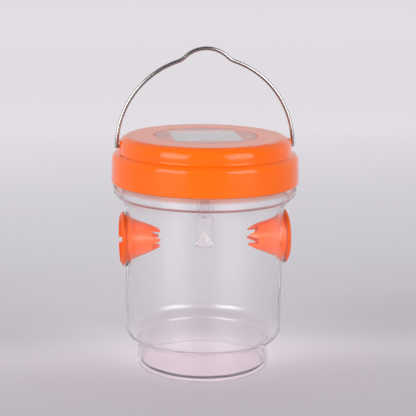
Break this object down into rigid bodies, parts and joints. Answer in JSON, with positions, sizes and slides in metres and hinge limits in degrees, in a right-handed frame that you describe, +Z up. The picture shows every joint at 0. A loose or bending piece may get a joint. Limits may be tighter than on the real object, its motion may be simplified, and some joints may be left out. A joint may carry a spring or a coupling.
{
  "type": "wasp trap",
  "caption": "Hanging wasp trap: clear jar with side entry funnels, orange screw lid with a solar lure light, and a wire bail.",
  "frame": {"origin": "centre of the jar's base, on the surface it stands on", "axes": "+Z up along the jar's axis, the two funnels and the bail's pivots on X, +X towards the right funnel"},
  "size_m": [0.12, 0.12, 0.207],
  "materials": {
    "clear_plastic": "clear moulded polystyrene",
    "orange_plastic": "glossy moulded orange",
    "window_plastic": "clear glossy disc",
    "silicone": "soft matte",
    "panel_board": "white board",
    "solar_cell": "dark blue cells with fine lines",
    "screw_steel": "plated",
    "wire_steel": "drawn stainless wire",
    "contact_steel": "nickel plated",
    "battery_wrap": "printed sleeve",
    "circuit_green": "solder mask",
    "component_black": "moulded parts",
    "lamp_clear": "water-clear lamp",
    "switch_metal": "plated can",
    "slider_black": "black slider",
    "wire_red": "insulated wire",
    "wire_black": "insulated wire"
  },
  "bodies": {
    "jar": {"jar": "clear_plastic"},
    "funnel_left": {"funnel_left": "orange_plastic"},
    "funnel_right": {"funnel_right": "orange_plastic"},
    "seal": {"lid_seal": "silicone"},
    "lid": {"lid_shell": "orange_plastic", "solar_window": "window_plastic", "solar_panel": "panel_board", "solar_cells": "solar_cell", "inner_housing": "orange_plastic", "housing_screws": "screw_steel", "battery_door": "orange_plastic", "door_screw": "screw_steel", "battery_cell": "battery_wrap", "battery_contact": "contact_steel", "battery_spring": "contact_steel", "circuit_board": "circuit_green", "board_components": "component_black", "board_screws": "screw_steel", "uv_lamp": "lamp_clear", "light_guide": "clear_plastic", "switch_body": "switch_metal", "solar_wires": "wire_red", "battery_wires": "wire_black"},
    "switch": {"switch_slider": "slider_black"},
    "bail": {"bail": "wire_steel"}
  },
  "joints": [
    {"name": "lid_lift", "type": "slide", "parent": "jar", "child": "seal", "axis": [0, 0, 1], "range_m": [0, 0.0641]},
    {"name": "lid_turn", "type": "hinge", "parent": "seal", "child": "lid", "pos_m": [0, 0, 0.13], "axis": [0, 0, 1], "range_deg": [0, 1440]},
    {"name": "bail_swing", "type": "hinge", "parent": "lid", "child": "bail", "pos_m": [0, 0, 0.144], "axis": [1, 0, 0], "range_deg": [-90, 90]},
    {"name": "switch_slide", "type": "slide", "parent": "lid", "child": "switch", "axis": [1, 0, 0], "range_m": [0, 0.0024]},
    {"name": "funnel_left_pull", "type": "slide", "parent": "jar", "child": "funnel_left", "axis": [-1, 0, 0], "range_m": [0, 0.03]},
    {"name": "funnel_right_pull", "type": "slide", "parent": "jar", "child": "funnel_right", "axis": [1, 0, 0], "range_m": [0, 0.03]}
  ],
  "couplings": [
    {"joint": "lid_lift", "follows": "lid_turn", "m_per_rad": 0.0025465}
  ]
}
